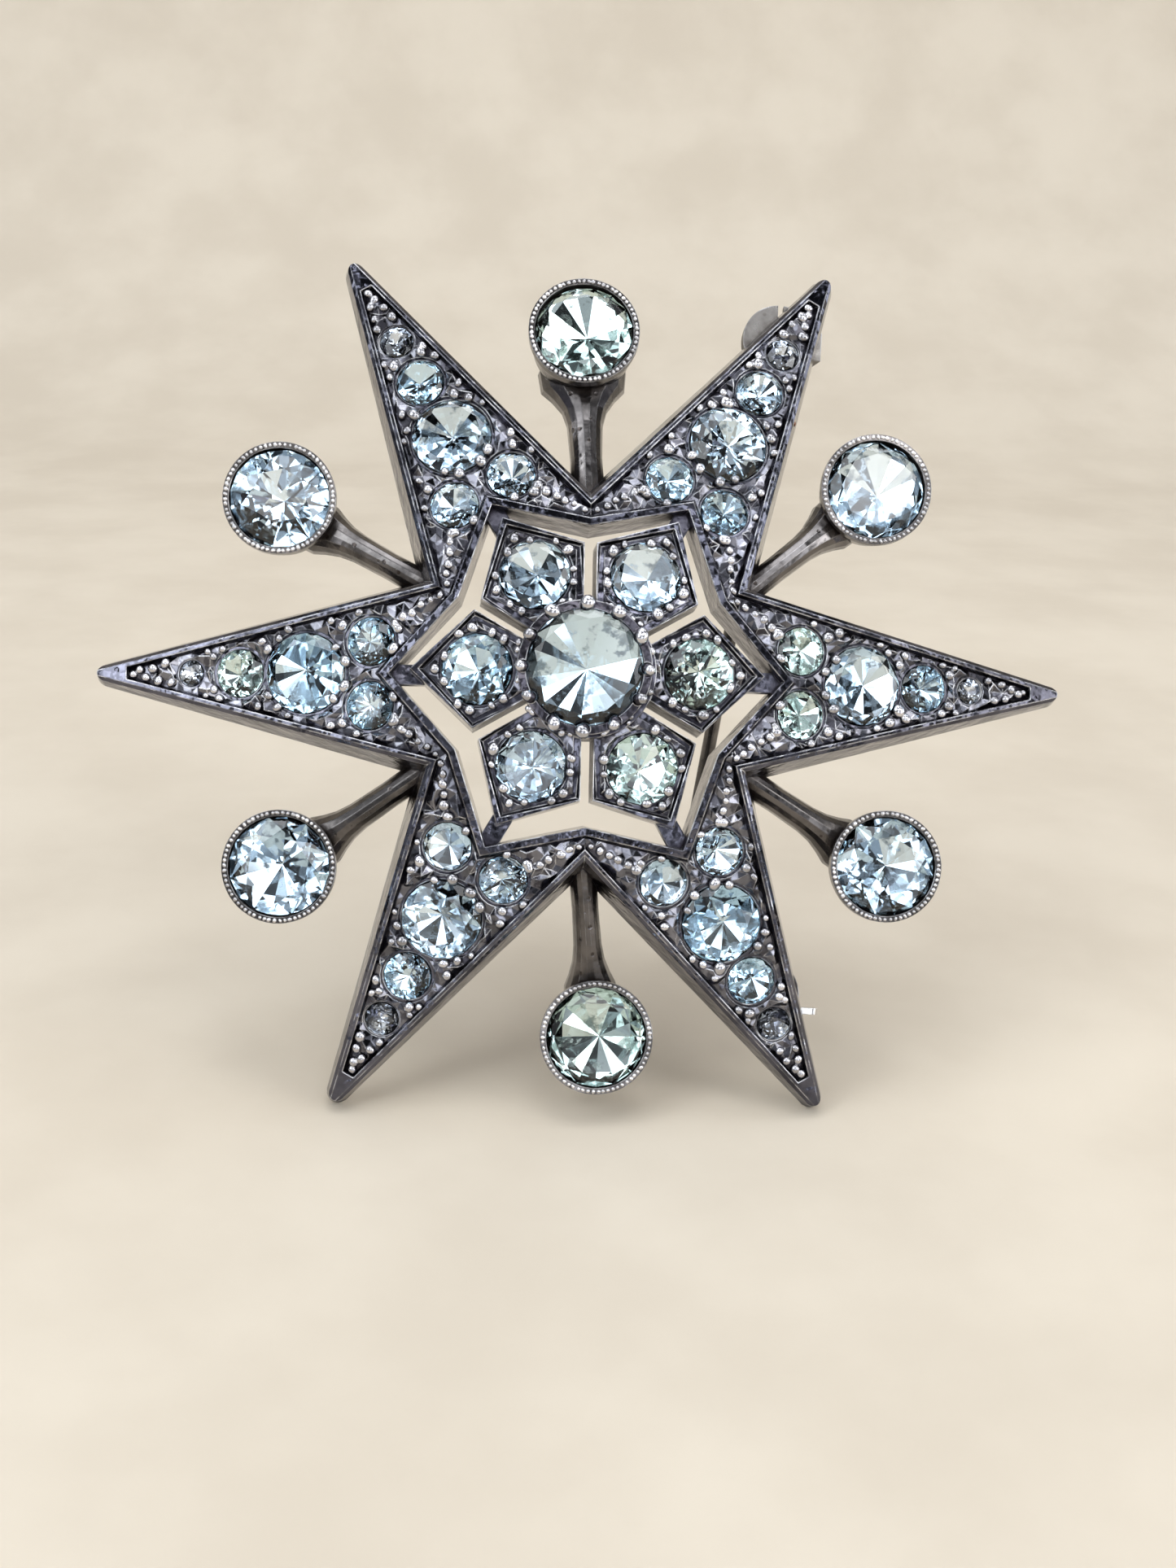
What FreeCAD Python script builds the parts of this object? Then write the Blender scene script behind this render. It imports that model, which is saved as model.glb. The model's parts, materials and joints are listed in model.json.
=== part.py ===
import FreeCAD, Part
import math
import os

# Six-rayed star brooch set with round pastes, standing on its two lower ray tips and its open pin.
#
# Star axes, in which the pieces are drawn: X to the right, Y up the face, Z out of the face, origin
# at the star's centre in the plane of the ray tips. Ray axes are the star axes turned about Z until
# X runs along a ray. Pin axes have their origin at the hinge, Y towards the catch, X along the rivet.
# Row axes, in which the pieces are written: X right, Z up, the face towards -Y, origin at the bottom
# centre of the whole object's box.

# ---- Driving dimensions, millimetres and degrees ----

# Star frame
TIP_RADIUS = 25.0          # star centre to the rounded ray tips
TIP_ROUND = 0.35           # radius of a ray tip at its front
TIP_THICKNESS = 1.2        # front to back at a ray tip
TIP_FACETS = 7             # flats that round a tip
FRONT_SLOPE = 13.0         # rise of the front from the tips to the centre
BACK_SLOPE = 7.5           # rise of the back from the tips to the centre
VALLEY_RADIUS = 9.0        # outer corner between two rays
OPENING_POINT = 9.8        # opening's corner on a ray axis
OPENING_VALLEY = 7.45      # opening's corner between two rays
WALL_DRAFT = 11.0          # walls spread outwards towards the back
OPENING_DRAFT = 2.5        # the opening narrows towards the back
BORDER = 0.34              # width of the raised border
BORDER_BEVEL = 0.14        # outer edge of the border cut back by this much
FIELD_DEPTH = 0.35         # sunken field below the border
FIELD_DRAFT = 25.0         # slope of the border's inner side
FIELD_END = 23.2           # the field stops here, short of the tip

# Stones: diameter, place on the ray axis, and offset to each side of it
MAIN_STONE = 4.0
MAIN_PLACE = 14.05
PAIR_STONE = 2.4
PAIR_PLACE = 10.8
PAIR_OFFSET = 1.6
SMALL_STONE = 2.4
SMALL_PLACE = 17.4
TIP_STONE = 1.7
TIP_STONE_SIDE = 1.3       # on the left and right rays
TIP_PLACE = 19.95
PETAL_STONE = 3.5
PETAL_PLACE = 5.5
CENTRE_STONE = 5.7
COLLET_STONE = 5.0

# Stone proportions, as shares of the diameter
TABLE_SHARE = 0.56
CROWN_SHARE = 0.17
GIRDLE_SHARE = 0.04
PAVILION_SHARE = 0.40
CULET_HOLE_SHARE = 0.25    # radius of the open hole behind a stone
SEAT_CLEARANCE = 0.03
SEAT_SINK = 0.08           # girdle's foot below the field

# Flower
PETAL_TIP = 8.75
PETAL_TIP_HEIGHT = 4.0
PETAL_SLOPE = 9.6
PETAL_SHOULDER = 6.35     # radius of a petal's side corners
PETAL_GAP = 0.58           # between two petals
PETAL_DRAFT = 1.5
PETAL_BORDER = 0.32
PETAL_FIELD_DEPTH = 0.3
FLOWER_BACK = 1.9          # height of the flower's flat back
HUB_RADIUS = 3.3
HUB_TOP = 4.9
BRIDGE_WIDTH = 1.0
BRIDGE_BOTTOM = 1.9
BRIDGE_TOP = 2.8
FLOWER_RAISE = 0.2         # the flower sits a little high in the opening
CENTRE_RAISE = 0.32        # and the centre setting higher still and a little to the left
CENTRE_ASIDE = -0.22

# Centre setting
SETTING_TOP = 5.3
SETTING_BORE = 2.88
CENTRE_GIRDLE = 5.0        # height of the centre stone's girdle
PRONGS = 12
PRONG_RADIUS = 0.31
PRONG_CIRCLE = 3.02

# Collets and stems
COLLET_RADIUS = 2.85
COLLET_DEPTH = 3.6
COLLET_PLACE = 18.0
COLLET_HEIGHT = 1.4        # height of a collet's rim
COLLET_FOOT = 1.95         # radius at its back
COLLET_SHOULDER = 2.6      # radius where the cup starts to close in
COLLET_SHOULDER_DEPTH = 2.0
COLLET_STEP = 0.12         # the rim's band stands out from the cup by this much
COLLET_GIRDLE = -0.5       # stone's girdle below the rim
STEM_WIDTH = 1.35
NECK_WIDTH = 2.7           # of a stem where it meets its collet
TOP_STEM_WIDTH = 1.65      # the top stem and its neck are heavier
TOP_NECK_WIDTH = 4.4
STEM_HEIGHT = 1.2          # of a stem's section, and its growth with the width
STEM_HEIGHT_SHARE = 0.25
# Along a stem: place on the star, share of the way from stem to neck width, height of the crest
STEM_STATIONS = [(8.3, 0.1, 2.5), (11.5, 0.0, 1.75), (13.4, 0.08, 1.3), (14.2, 0.25, 1.05),
                 (14.9, 0.6, 0.85), (15.5, 1.0, 0.7), (16.6, 1.1, 0.5)]
# Half of a stem's section as shares of its half width and height, from the base to the crest
STEM_SECTION = [(1.0, 0.0), (0.96, 0.4), (0.8, 0.72), (0.52, 0.92), (0.18, 1.0)]

# Pin, hinge and catch
HINGE_PLACE = 21.2         # on the upper right ray's axis
CATCH_PLACE = 18.0         # on the lower right ray's axis
PIN_HEIGHT = -2.8          # pin and rivet axes behind the plane of the tips
PIN_RADIUS = 0.4
PIN_LENGTH = 36.6          # rivet axis to point
PIN_TAPER = 3.4            # length of the ground point
PIN_POINT = 0.05           # radius of the point
OPEN_ANGLE = 22.0          # from closed to standing on the point as a prop
HINGE_TWIST = 12.0         # the rivet is askew, so the pin swings inwards as it opens
LEAN_ROUNDS = 30           # rounds of closing in on the angle at which the brooch stands
LEAN_LIMIT = 45.0
LEAN_TOLERANCE = 0.01
KNUCKLE_RADIUS = 0.7
KNUCKLE_LENGTH = 1.5
PIN_ROOT_RADIUS = 0.6      # the stem's root flares into the knuckle
PIN_ROOT_LENGTH = 2.0
HEEL_LENGTH = 1.3          # stops the pin against the plate when fully open
HEEL_THICKNESS = 0.6
HEEL_WIDTH = 1.3
RIVET_RADIUS = 0.25
RIVET_CLEARANCE = 0.03
RIVET_END = 1.45
RIVET_HEAD_RADIUS = 0.4
RIVET_HEAD_LENGTH = 0.16
HINGE_DISC_RADIUS = 1.95
HINGE_DISC_BACK = -1.3
HINGE_DISC_ASIDE = 0.6     # plate's centre off the hinge's middle
EAR_THICKNESS = 0.55
EAR_GAP = 1.6
EAR_RADIUS = 0.75
EAR_ROOT = 0.4             # ears sunk into the plate by this much
NOTCH_WIDTH = 0.3          # notch in the outer edge of the hinge's plate
NOTCH_DEPTH = 0.9
CATCH_DISC_RADIUS = 2.18
CATCH_DISC_BACK = -1.15
CATCH_DISC_ASIDE = -0.3    # plate's centre off the catch's middle
CATCH_DISC_ALONG = 0.35
HOUSING_OUTER = 1.5
HOUSING_INNER = 1.2
HOUSING_LENGTH = 1.8
HOUSING_SLOT = 1.24
SADDLE_WIDTH = 1.6
SADDLE_DEPTH = 0.9
ROLLER_CLEARANCE = 0.05
ROLLER_FLANGE = 1.35
ROLLER_FLANGE_LENGTH = 0.35
ROLLER_SLOT = 1.1
LEVER_REACH = 3.6
LEVER_WIDTH = 0.6

RAYS = {
    "right": 0, "upper_right": 60, "upper_left": 120,
    "left": 180, "lower_left": 240, "lower_right": 300,
}
SECTOR = 30.0              # half of the angle between two rays

# Collets: place on the star, how far each has been bent round, and how far its face tips outwards
COLLETS = {
    "upper_right": (30, 4.7, 0.0),
    "top": (90, 1.2, 9.0),
    "upper_left": (150, 0.2, 0.0),
    "lower_left": (210, 2.4, 0.0),
    "bottom": (270, 2.8, 0.0),
    "lower_right": (330, -0.4, 0.0),
}

# ---- Small tools ----

V = FreeCAD.Vector
ORIGIN = V(0, 0, 0)
X_AXIS = V(1, 0, 0)
Y_AXIS = V(0, 1, 0)
Z_AXIS = V(0, 0, 1)
BLOCK = 80.0               # larger than any piece
OVER = 3.0                 # a cutting tool reaches past the metal by this much


def tan(degrees):
    return math.tan(math.radians(degrees))


def polar(radius, degrees, height=0.0):
    angle = math.radians(degrees)
    return V(radius * math.cos(angle), radius * math.sin(angle), height)


def turned_about(shape, axis, degrees, centre=ORIGIN):
    copy = shape.copy()
    copy.rotate(centre, axis, degrees)
    return copy


def turned_direction(direction, degrees):
    return FreeCAD.Rotation(Z_AXIS, degrees).multVec(direction)


def at_ray(shape, degrees):
    """Turn a shape from ray axes to star axes."""
    return turned_about(shape, Z_AXIS, degrees)


def trim(solid, point, normal):
    """Remove what lies beyond the plane through point, on the side that normal points to."""
    block = Part.makeBox(BLOCK, BLOCK, BLOCK, V(-BLOCK / 2, -BLOCK / 2, 0))
    block.Placement = FreeCAD.Placement(point, FreeCAD.Rotation(Z_AXIS, normal))
    return solid.cut(block)


def lathe(outline):
    """Solid of revolution about Z of a closed outline of (radius, height) points."""
    corners = [V(radius, 0, height) for radius, height in outline]
    return Part.Face(Part.makePolygon(corners + corners[:1])).revolve(ORIGIN, Z_AXIS, 360)


def rod(radius, start, end):
    """Cylinder from one point to another."""
    along = end - start
    return Part.makeCylinder(radius, along.Length, start, along)


def block_between(low, high):
    return Part.makeBox(high.x - low.x, high.y - low.y, high.z - low.z, low)


def largest(shape):
    return max(shape.Solids, key=lambda solid: solid.Volume)


def wall(start, end, draft, outward):
    """Plane through the edge start-end, leaning outwards towards the back by draft."""
    along = end - start
    across = V(along.y, -along.x, 0).normalize()
    if across.dot(outward) < 0:
        across = across * -1
    normal = along.cross(across * tan(draft) - Z_AXIS)
    if normal.dot(outward) < 0:
        normal = normal * -1
    return across, normal


def tilted(shape, place, tilt):
    """Put a shape drawn about Z at a place in ray axes, with its axis leaning outwards by tilt."""
    return turned_about(shape, Y_AXIS, tilt).translated(place)


# ---- Stones and their seats ----

def stone(diameter):
    """Round brilliant as a plain turned solid, with the foot of its girdle at height 0."""
    radius = diameter / 2
    girdle = diameter * GIRDLE_SHARE
    crown = girdle + diameter * CROWN_SHARE
    table = radius * TABLE_SHARE
    culet = -diameter * PAVILION_SHARE
    return lathe([(0, crown), (table, crown), (radius, girdle), (radius, 0), (0, culet)])


def seat(diameter):
    """Tool that cuts a stone's seat and the open hole behind it."""
    radius = diameter / 2 + SEAT_CLEARANCE
    hole = diameter * CULET_HOLE_SHARE
    depth = (radius - hole) * PAVILION_SHARE * 2
    through = -depth - OVER
    return lathe([(0, OVER), (radius, OVER), (radius, 0), (hole, -depth), (hole, through), (0, through)])


# ---- Star frame, in ray axes ----

TIP_CENTRE = TIP_RADIUS - TIP_ROUND - TIP_THICKNESS * tan(WALL_DRAFT)


def front_height(x):
    return (TIP_RADIUS - x) * tan(FRONT_SLOPE)


def slope_normal(degrees):
    return V(math.sin(math.radians(degrees)), 0, math.cos(math.radians(degrees)))


def ray_edge(side):
    """Front edge of a ray's wall, from the valley to where both walls would meet."""
    valley = polar(VALLEY_RADIUS, side * SECTOR)
    valley.z = front_height(valley.x)
    reach = math.hypot(TIP_CENTRE - valley.x, valley.y)
    half_angle = math.atan2(abs(valley.y), TIP_CENTRE - valley.x) - math.asin(TIP_ROUND / reach)
    apex_x = valley.x + abs(valley.y) / math.tan(half_angle)
    return valley, V(apex_x, 0, front_height(apex_x))


def slab(low_x, high_x):
    """Block wider and deeper than a ray."""
    half = TIP_RADIUS / 2
    return block_between(V(low_x, -half, -half), V(high_x, half, half))


def ray_blank():
    blank = slab(0, TIP_RADIUS + OVER)
    blank = trim(blank, V(TIP_RADIUS, 0, 0), slope_normal(FRONT_SLOPE))
    blank = trim(blank, V(TIP_RADIUS, 0, -TIP_THICKNESS), slope_normal(BACK_SLOPE) * -1)
    for side in (1, -1):
        outward = V(0, side, 0)
        start, end = ray_edge(side)
        blank = trim(blank, start, wall(start, end, WALL_DRAFT, outward)[1])
        blank = trim(blank, ORIGIN, turned_direction(outward, side * SECTOR))
    return round_tip(blank)


def round_tip(blank):
    """Flats round the end of a ray, leaning like its walls and spaced evenly from wall to wall."""
    start, end = ray_edge(1)
    wall_turn = 90 - math.degrees(math.atan2(start.y, end.x - start.x))
    step = 2 * wall_turn / (TIP_FACETS + 1)
    for index in range(TIP_FACETS):
        direction = polar(1, (index - TIP_FACETS // 2) * step)
        edge = V(TIP_CENTRE, 0, 0) + direction * TIP_ROUND
        blank = trim(blank, edge, direction + Z_AXIS * tan(WALL_DRAFT))
    return blank


def bevel_edges(blank):
    """Bright-cut bevel along both outer edges of the front."""
    for side in (1, -1):
        start, end = ray_edge(side)
        across = wall(start, end, WALL_DRAFT, V(0, side, 0))[0]
        lower = across * -BORDER_BEVEL
        blank = trim(blank, start + lower, across + slope_normal(FRONT_SLOPE))
    return blank


def opening(margin, draft):
    """Convex block of the star's opening within one ray, grown by margin, tapering to the back."""
    block = slab(-OVER, TIP_RADIUS)
    for side in (1, -1):
        start = V(OPENING_POINT, 0, front_height(OPENING_POINT))
        end = polar(OPENING_VALLEY, side * SECTOR)
        end.z = front_height(end.x)
        across, normal = wall(start, end, -draft, X_AXIS)
        block = trim(block, start + across * margin, normal)
    return block


def field():
    """Sunken field of one ray, between the borders."""
    block = slab(0, TIP_RADIUS)
    for side in (1, -1):
        start, end = ray_edge(side)
        across, normal = wall(start, end, -FIELD_DRAFT, V(0, side, 0))
        block = trim(block, start - across * BORDER, normal)
    up = slope_normal(FRONT_SLOPE)
    block = trim(block, V(TIP_RADIUS, 0, 0) - up * FIELD_DEPTH, up * -1)
    block = trim(block, V(FIELD_END, 0, 0), X_AXIS)
    return block.cut(opening(BORDER, -FIELD_DRAFT))


def ray_stones(side_ray):
    """Diameter and place of each stone of a ray, by kind."""
    tip_diameter = TIP_STONE_SIDE if side_ray else TIP_STONE
    return {
        "main": [(MAIN_STONE, MAIN_PLACE, 0)],
        "pair": [(PAIR_STONE, PAIR_PLACE, PAIR_OFFSET), (PAIR_STONE, PAIR_PLACE, -PAIR_OFFSET)],
        "small": [(SMALL_STONE, SMALL_PLACE, 0)],
        "tip": [(tip_diameter, TIP_PLACE, 0)],
    }


def in_field(shape, x, y):
    """Put a shape drawn about Z on the field of a ray, square to its front."""
    up = slope_normal(FRONT_SLOPE)
    return tilted(shape, V(x, y, front_height(x)) - up * (FIELD_DEPTH + SEAT_SINK), FRONT_SLOPE)


def ray(side_ray):
    """One sixth of the star frame."""
    metal = bevel_edges(ray_blank()).cut(opening(0, OPENING_DRAFT)).cut(field())
    for places in ray_stones(side_ray).values():
        for diameter, x, y in places:
            metal = metal.cut(in_field(seat(diameter), x, y))
    return metal


def is_side(name):
    return name in ("left", "right")


def star_frame():
    rays = [at_ray(ray(is_side(name)), angle) for name, angle in RAYS.items()]
    return largest(rays[0].multiFuse(rays[1:]).removeSplitter())


# ---- Flower and centre setting ----

def petal_block(margin, draft):
    """Kite of one petal, shrunk by margin, its walls leaning by draft, cut to the flower's height."""
    half = PETAL_TIP
    block = block_between(V(HUB_RADIUS / 2, -half, FLOWER_BACK), V(PETAL_TIP + OVER, half, half))
    for side in (1, -1):
        gap_line = turned_direction(X_AXIS, side * SECTOR)
        into_petal = turned_direction(Y_AXIS, side * SECTOR) * -side
        shoulder = gap_line * PETAL_SHOULDER + into_petal * (PETAL_GAP / 2)
        tip = V(PETAL_TIP, 0, PETAL_TIP_HEIGHT)
        shoulder.z = tip.z
        across, normal = wall(tip, shoulder, draft, X_AXIS)
        block = trim(block, tip - across * margin, normal)
        across, normal = wall(shoulder, shoulder - gap_line, draft, V(0, side, 0))
        block = trim(block, shoulder - across * margin, normal)
    return block


def petal():
    up = slope_normal(PETAL_SLOPE)
    rim = V(PETAL_TIP, 0, PETAL_TIP_HEIGHT)
    sunken = trim(petal_block(PETAL_BORDER, -FIELD_DRAFT), rim - up * PETAL_FIELD_DEPTH, up * -1)
    return trim(petal_block(0, PETAL_DRAFT), rim, up).cut(sunken)


def bridge():
    """Short bar from a petal's tip to the star frame."""
    half = BRIDGE_WIDTH / 2
    bar = block_between(V(PETAL_TIP - 1, -half, BRIDGE_BOTTOM), V(OPENING_POINT + 1, half, BRIDGE_TOP))
    return bar.common(opening(0, OPENING_DRAFT))


def on_petal(shape):
    up = slope_normal(PETAL_SLOPE)
    front = PETAL_TIP_HEIGHT + (PETAL_TIP - PETAL_PLACE) * tan(PETAL_SLOPE)
    place = V(PETAL_PLACE, 0, front) - up * (PETAL_FIELD_DEPTH + SEAT_SINK)
    return tilted(shape, place, PETAL_SLOPE)


def in_flower(shape, angle):
    """Turn a shape drawn on a petal to its place in the flower."""
    return at_ray(shape, angle).translated(Y_AXIS * FLOWER_RAISE)


def in_centre(shape):
    """Raise a shape drawn at a girdle's foot to the centre setting."""
    return shape.translated(V(CENTRE_ASIDE, CENTRE_RAISE, CENTRE_GIRDLE))


def flower_plate():
    hub = Part.makeCylinder(HUB_RADIUS, HUB_TOP - FLOWER_BACK, V(0, FLOWER_RAISE, FLOWER_BACK))
    arms = [in_flower(petal(), angle) for angle in RAYS.values()]
    arms += [at_ray(bridge(), angle) for angle in RAYS.values()]
    plate = hub.multiFuse(arms).removeSplitter()
    for angle in RAYS.values():
        plate = plate.cut(in_flower(on_petal(seat(PETAL_STONE)), angle))
    return largest(plate.cut(in_centre(seat(CENTRE_STONE))))


def centre_setting():
    """Collar round the centre stone with prongs that lap over its edge."""
    foot = HUB_TOP - CENTRE_GIRDLE
    top = SETTING_TOP - CENTRE_GIRDLE
    collar = lathe([(SETTING_BORE, foot), (HUB_RADIUS, foot), (HUB_RADIUS, top), (SETTING_BORE, top)])
    prongs = []
    for index in range(PRONGS):
        place = polar(PRONG_CIRCLE, index * 360 / PRONGS, top)
        prongs.append(Part.makeSphere(PRONG_RADIUS, place))
    stone_tool = stone(CENTRE_STONE + 2 * SEAT_CLEARANCE)
    return in_centre(largest(collar.multiFuse(prongs).cut(stone_tool)))


# ---- Collets and stems ----

def collet_cup():
    """Tapered cup about Z with its rim at height 0 and its inside following the stone."""
    bore = COLLET_STONE / 2 + SEAT_CLEARANCE
    apex = COLLET_GIRDLE - bore * PAVILION_SHARE * 2
    return collet_envelope().cut(lathe([(0, OVER), (bore, OVER), (bore, COLLET_GIRDLE), (0, apex)]))


def collet_envelope():
    """Cup without its hollow."""
    return lathe([(0, -COLLET_DEPTH), (COLLET_FOOT, -COLLET_DEPTH), (COLLET_SHOULDER, -COLLET_SHOULDER_DEPTH),
                  (COLLET_RADIUS - COLLET_STEP, COLLET_GIRDLE - COLLET_STEP), (COLLET_RADIUS, COLLET_GIRDLE),
                  (COLLET_RADIUS, 0), (0, 0)])


def at_collet(shape, name):
    """Put a shape drawn at a collet's rim, about Z, where the named collet stands."""
    angle, bend, tip_out = COLLETS[name]
    placed = tilted(shape, V(COLLET_PLACE, 0, COLLET_HEIGHT), tip_out)
    return at_ray(placed, angle + bend)


def stem_section(distance, width, crest):
    """Closed outline of a stem at a distance along it: flat at the back, rounded off at the crest."""
    height = STEM_HEIGHT + STEM_HEIGHT_SHARE * width
    rising = [V(distance, width / 2 * out, crest - height * (1 - up)) for out, up in STEM_SECTION]
    falling = [V(point.x, -point.y, point.z) for point in reversed(rising)]
    return Part.makePolygon(rising + falling + rising[:1])


def stem(name, frame):
    """Bar from a valley of the star to the named collet, flaring into a neck round the cup."""
    angle, bend, _ = COLLETS[name]
    slim, wide = (TOP_STEM_WIDTH, TOP_NECK_WIDTH) if name == "top" else (STEM_WIDTH, NECK_WIDTH)
    root = polar(VALLEY_RADIUS, angle)
    along = polar(COLLET_PLACE, angle + bend) - root
    direction = math.degrees(math.atan2(along.y, along.x))
    sections = []
    for place, flare, crest in STEM_STATIONS:
        width = slim + flare * (wide - slim)
        sections.append(stem_section(place - VALLEY_RADIUS, width, crest))
    bar = at_ray(Part.makeLoft(sections, True, True), direction).translated(root)
    return largest(bar.cut(frame).cut(at_collet(collet_envelope(), name)))


# ---- Pin, hinge and catch, in pin axes ----

def pin_frame():
    """Hinge point, catch distance and direction of the line from the hinge to the catch, in star axes."""
    hinge = polar(HINGE_PLACE, RAYS["upper_right"], PIN_HEIGHT)
    along = polar(CATCH_PLACE, RAYS["lower_right"], PIN_HEIGHT) - hinge
    return hinge, along.Length, math.degrees(math.atan2(-along.x, along.y))


HINGE, CATCH_DISTANCE, PIN_LEAN = pin_frame()
CATCH_TURN = FreeCAD.Rotation(Z_AXIS, PIN_LEAN)
HINGE_TURN = CATCH_TURN.multiply(FreeCAD.Rotation(Y_AXIS, -HINGE_TWIST))
PIN_DIRECTION = HINGE_TURN.multiply(FreeCAD.Rotation(X_AXIS, -OPEN_ANGLE)).multVec(Y_AXIS)


def from_pin_axes(shape):
    return turned_about(shape, Z_AXIS, PIN_LEAN).translated(HINGE)


def askew(shape):
    """Turn a shape about the closed pin, as the rivet and the slots of the catch stand."""
    return turned_about(shape, Y_AXIS, -HINGE_TWIST)


def under_ray(shape, name):
    """Trim a shape in star axes to the back of the named ray."""
    point = polar(TIP_RADIUS, RAYS[name], -TIP_THICKNESS)
    return trim(shape, point, turned_direction(slope_normal(BACK_SLOPE), RAYS[name]))


def hinge_base():
    """Round notched plate with two bored ears."""
    back = HINGE_DISC_BACK - PIN_HEIGHT
    plate = Part.makeCylinder(HINGE_DISC_RADIUS, OVER, V(HINGE_DISC_ASIDE, 0, back))
    edge = V(HINGE_DISC_ASIDE, -HINGE_DISC_RADIUS, 0)
    low, high = V(NOTCH_WIDTH / 2, OVER, 0), V(NOTCH_WIDTH / 2, NOTCH_DEPTH, 2 * OVER)
    plate = plate.cut(block_between(edge - low, edge + high))
    ears = []
    for side in (1, -1):
        inner = V(side * EAR_GAP / 2, 0, 0)
        outer = V(side * (EAR_GAP / 2 + EAR_THICKNESS), 0, 0)
        low_x, high_x = sorted((inner.x, outer.x))
        cheek = block_between(V(low_x, -EAR_RADIUS, 0), V(high_x, EAR_RADIUS, back + EAR_ROOT))
        ears.append(askew(cheek.fuse(rod(EAR_RADIUS, inner, outer))))
    base = plate.multiFuse(ears).cut(askew(rod(RIVET_RADIUS, X_AXIS * -OVER, X_AXIS * OVER)))
    return largest(under_ray(from_pin_axes(base.removeSplitter()), "upper_right"))


def hinge_rivet():
    """Wire through both ears, headed at one end."""
    wire = rod(RIVET_RADIUS, X_AXIS * -RIVET_END, X_AXIS * RIVET_END)
    ear_side = -(EAR_GAP / 2 + EAR_THICKNESS)
    head = rod(RIVET_HEAD_RADIUS, X_AXIS * (ear_side - RIVET_HEAD_LENGTH), X_AXIS * ear_side)
    return from_pin_axes(askew(wire.fuse(head).removeSplitter()))


def pin_stem():
    """Knuckle, heel and pointed stem, lying closed along Y, then swung open about the rivet."""
    half = KNUCKLE_LENGTH / 2
    knuckle = rod(KNUCKLE_RADIUS, X_AXIS * -half, X_AXIS * half)
    heel = block_between(V(-HEEL_WIDTH / 2, -HEEL_LENGTH, -HEEL_THICKNESS / 2),
                         V(HEEL_WIDTH / 2, 0, HEEL_THICKNESS / 2))
    shank_end = PIN_LENGTH - PIN_TAPER
    shank = rod(PIN_RADIUS, ORIGIN, Y_AXIS * shank_end)
    root = Part.makeCone(PIN_ROOT_RADIUS, PIN_RADIUS, PIN_ROOT_LENGTH, ORIGIN, Y_AXIS)
    point = Part.makeCone(PIN_RADIUS, PIN_POINT, PIN_TAPER - PIN_POINT, Y_AXIS * shank_end, Y_AXIS)
    ball = Part.makeSphere(PIN_POINT, Y_AXIS * (PIN_LENGTH - PIN_POINT))
    pin = knuckle.multiFuse([heel, root, shank, point, ball]).removeSplitter()
    pin = pin.cut(rod(RIVET_RADIUS + RIVET_CLEARANCE, X_AXIS * -OVER, X_AXIS * OVER))
    return from_pin_axes(askew(turned_about(largest(pin), X_AXIS, -OPEN_ANGLE)))


def barrel(radius, start, end):
    """Rod on the catch's axis, start and end measured from the catch's middle."""
    middle = Y_AXIS * CATCH_DISTANCE
    return rod(radius, middle + Y_AXIS * start, middle + Y_AXIS * end)


def slot_block(width, length):
    """Block that cuts a slot from the catch's axis backwards, before it is turned askew."""
    middle = CATCH_DISTANCE
    return block_between(V(-width / 2, middle - length, -OVER), V(width / 2, middle + length, 0))


def catch_base():
    """Round plate with a saddle for the housing."""
    half = HOUSING_LENGTH / 2
    back = CATCH_DISC_BACK - PIN_HEIGHT
    middle = V(CATCH_DISC_ASIDE, CATCH_DISTANCE + CATCH_DISC_ALONG, back)
    plate = Part.makeCylinder(CATCH_DISC_RADIUS, OVER, middle)
    saddle = block_between(V(-SADDLE_WIDTH / 2, CATCH_DISTANCE - half, back - SADDLE_DEPTH),
                           V(SADDLE_WIDTH / 2, CATCH_DISTANCE + half, back))
    base = plate.fuse(saddle.cut(barrel(HOUSING_OUTER, -half, half)))
    return largest(under_ray(from_pin_axes(base.removeSplitter()), "lower_right"))


def catch_housing():
    """C-shaped barrel, open to the back."""
    half = HOUSING_LENGTH / 2
    tube = barrel(HOUSING_OUTER, -half, half).cut(barrel(HOUSING_INNER, -OVER, OVER))
    return largest(from_pin_axes(tube.cut(askew(slot_block(HOUSING_SLOT, OVER)))))


def catch_roller():
    """Slotted drum with a flange at each end and a lever on the outer one, slot open to the back."""
    shoulder = HOUSING_LENGTH / 2 + ROLLER_CLEARANCE
    end = shoulder + ROLLER_FLANGE_LENGTH
    drum = barrel(HOUSING_INNER - ROLLER_CLEARANCE, -shoulder, shoulder)
    flanges = [barrel(ROLLER_FLANGE, -end, -shoulder), barrel(ROLLER_FLANGE, shoulder, end)]
    near = CATCH_DISTANCE + shoulder
    far = CATCH_DISTANCE + end
    tab = block_between(V(-LEVER_REACH, near, -LEVER_WIDTH / 2), V(-ROLLER_SLOT / 2, far, LEVER_WIDTH / 2))
    thumb = rod(LEVER_WIDTH / 2, V(-LEVER_REACH, near, 0), V(-LEVER_REACH, far, 0))
    roller = drum.multiFuse(flanges + [tab, thumb]).removeSplitter()
    roller = roller.cut(askew(slot_block(ROLLER_SLOT, OVER))).cut(barrel(ROLLER_SLOT / 2, -OVER, OVER))
    return largest(from_pin_axes(roller))


# ---- The whole brooch ----

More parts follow.
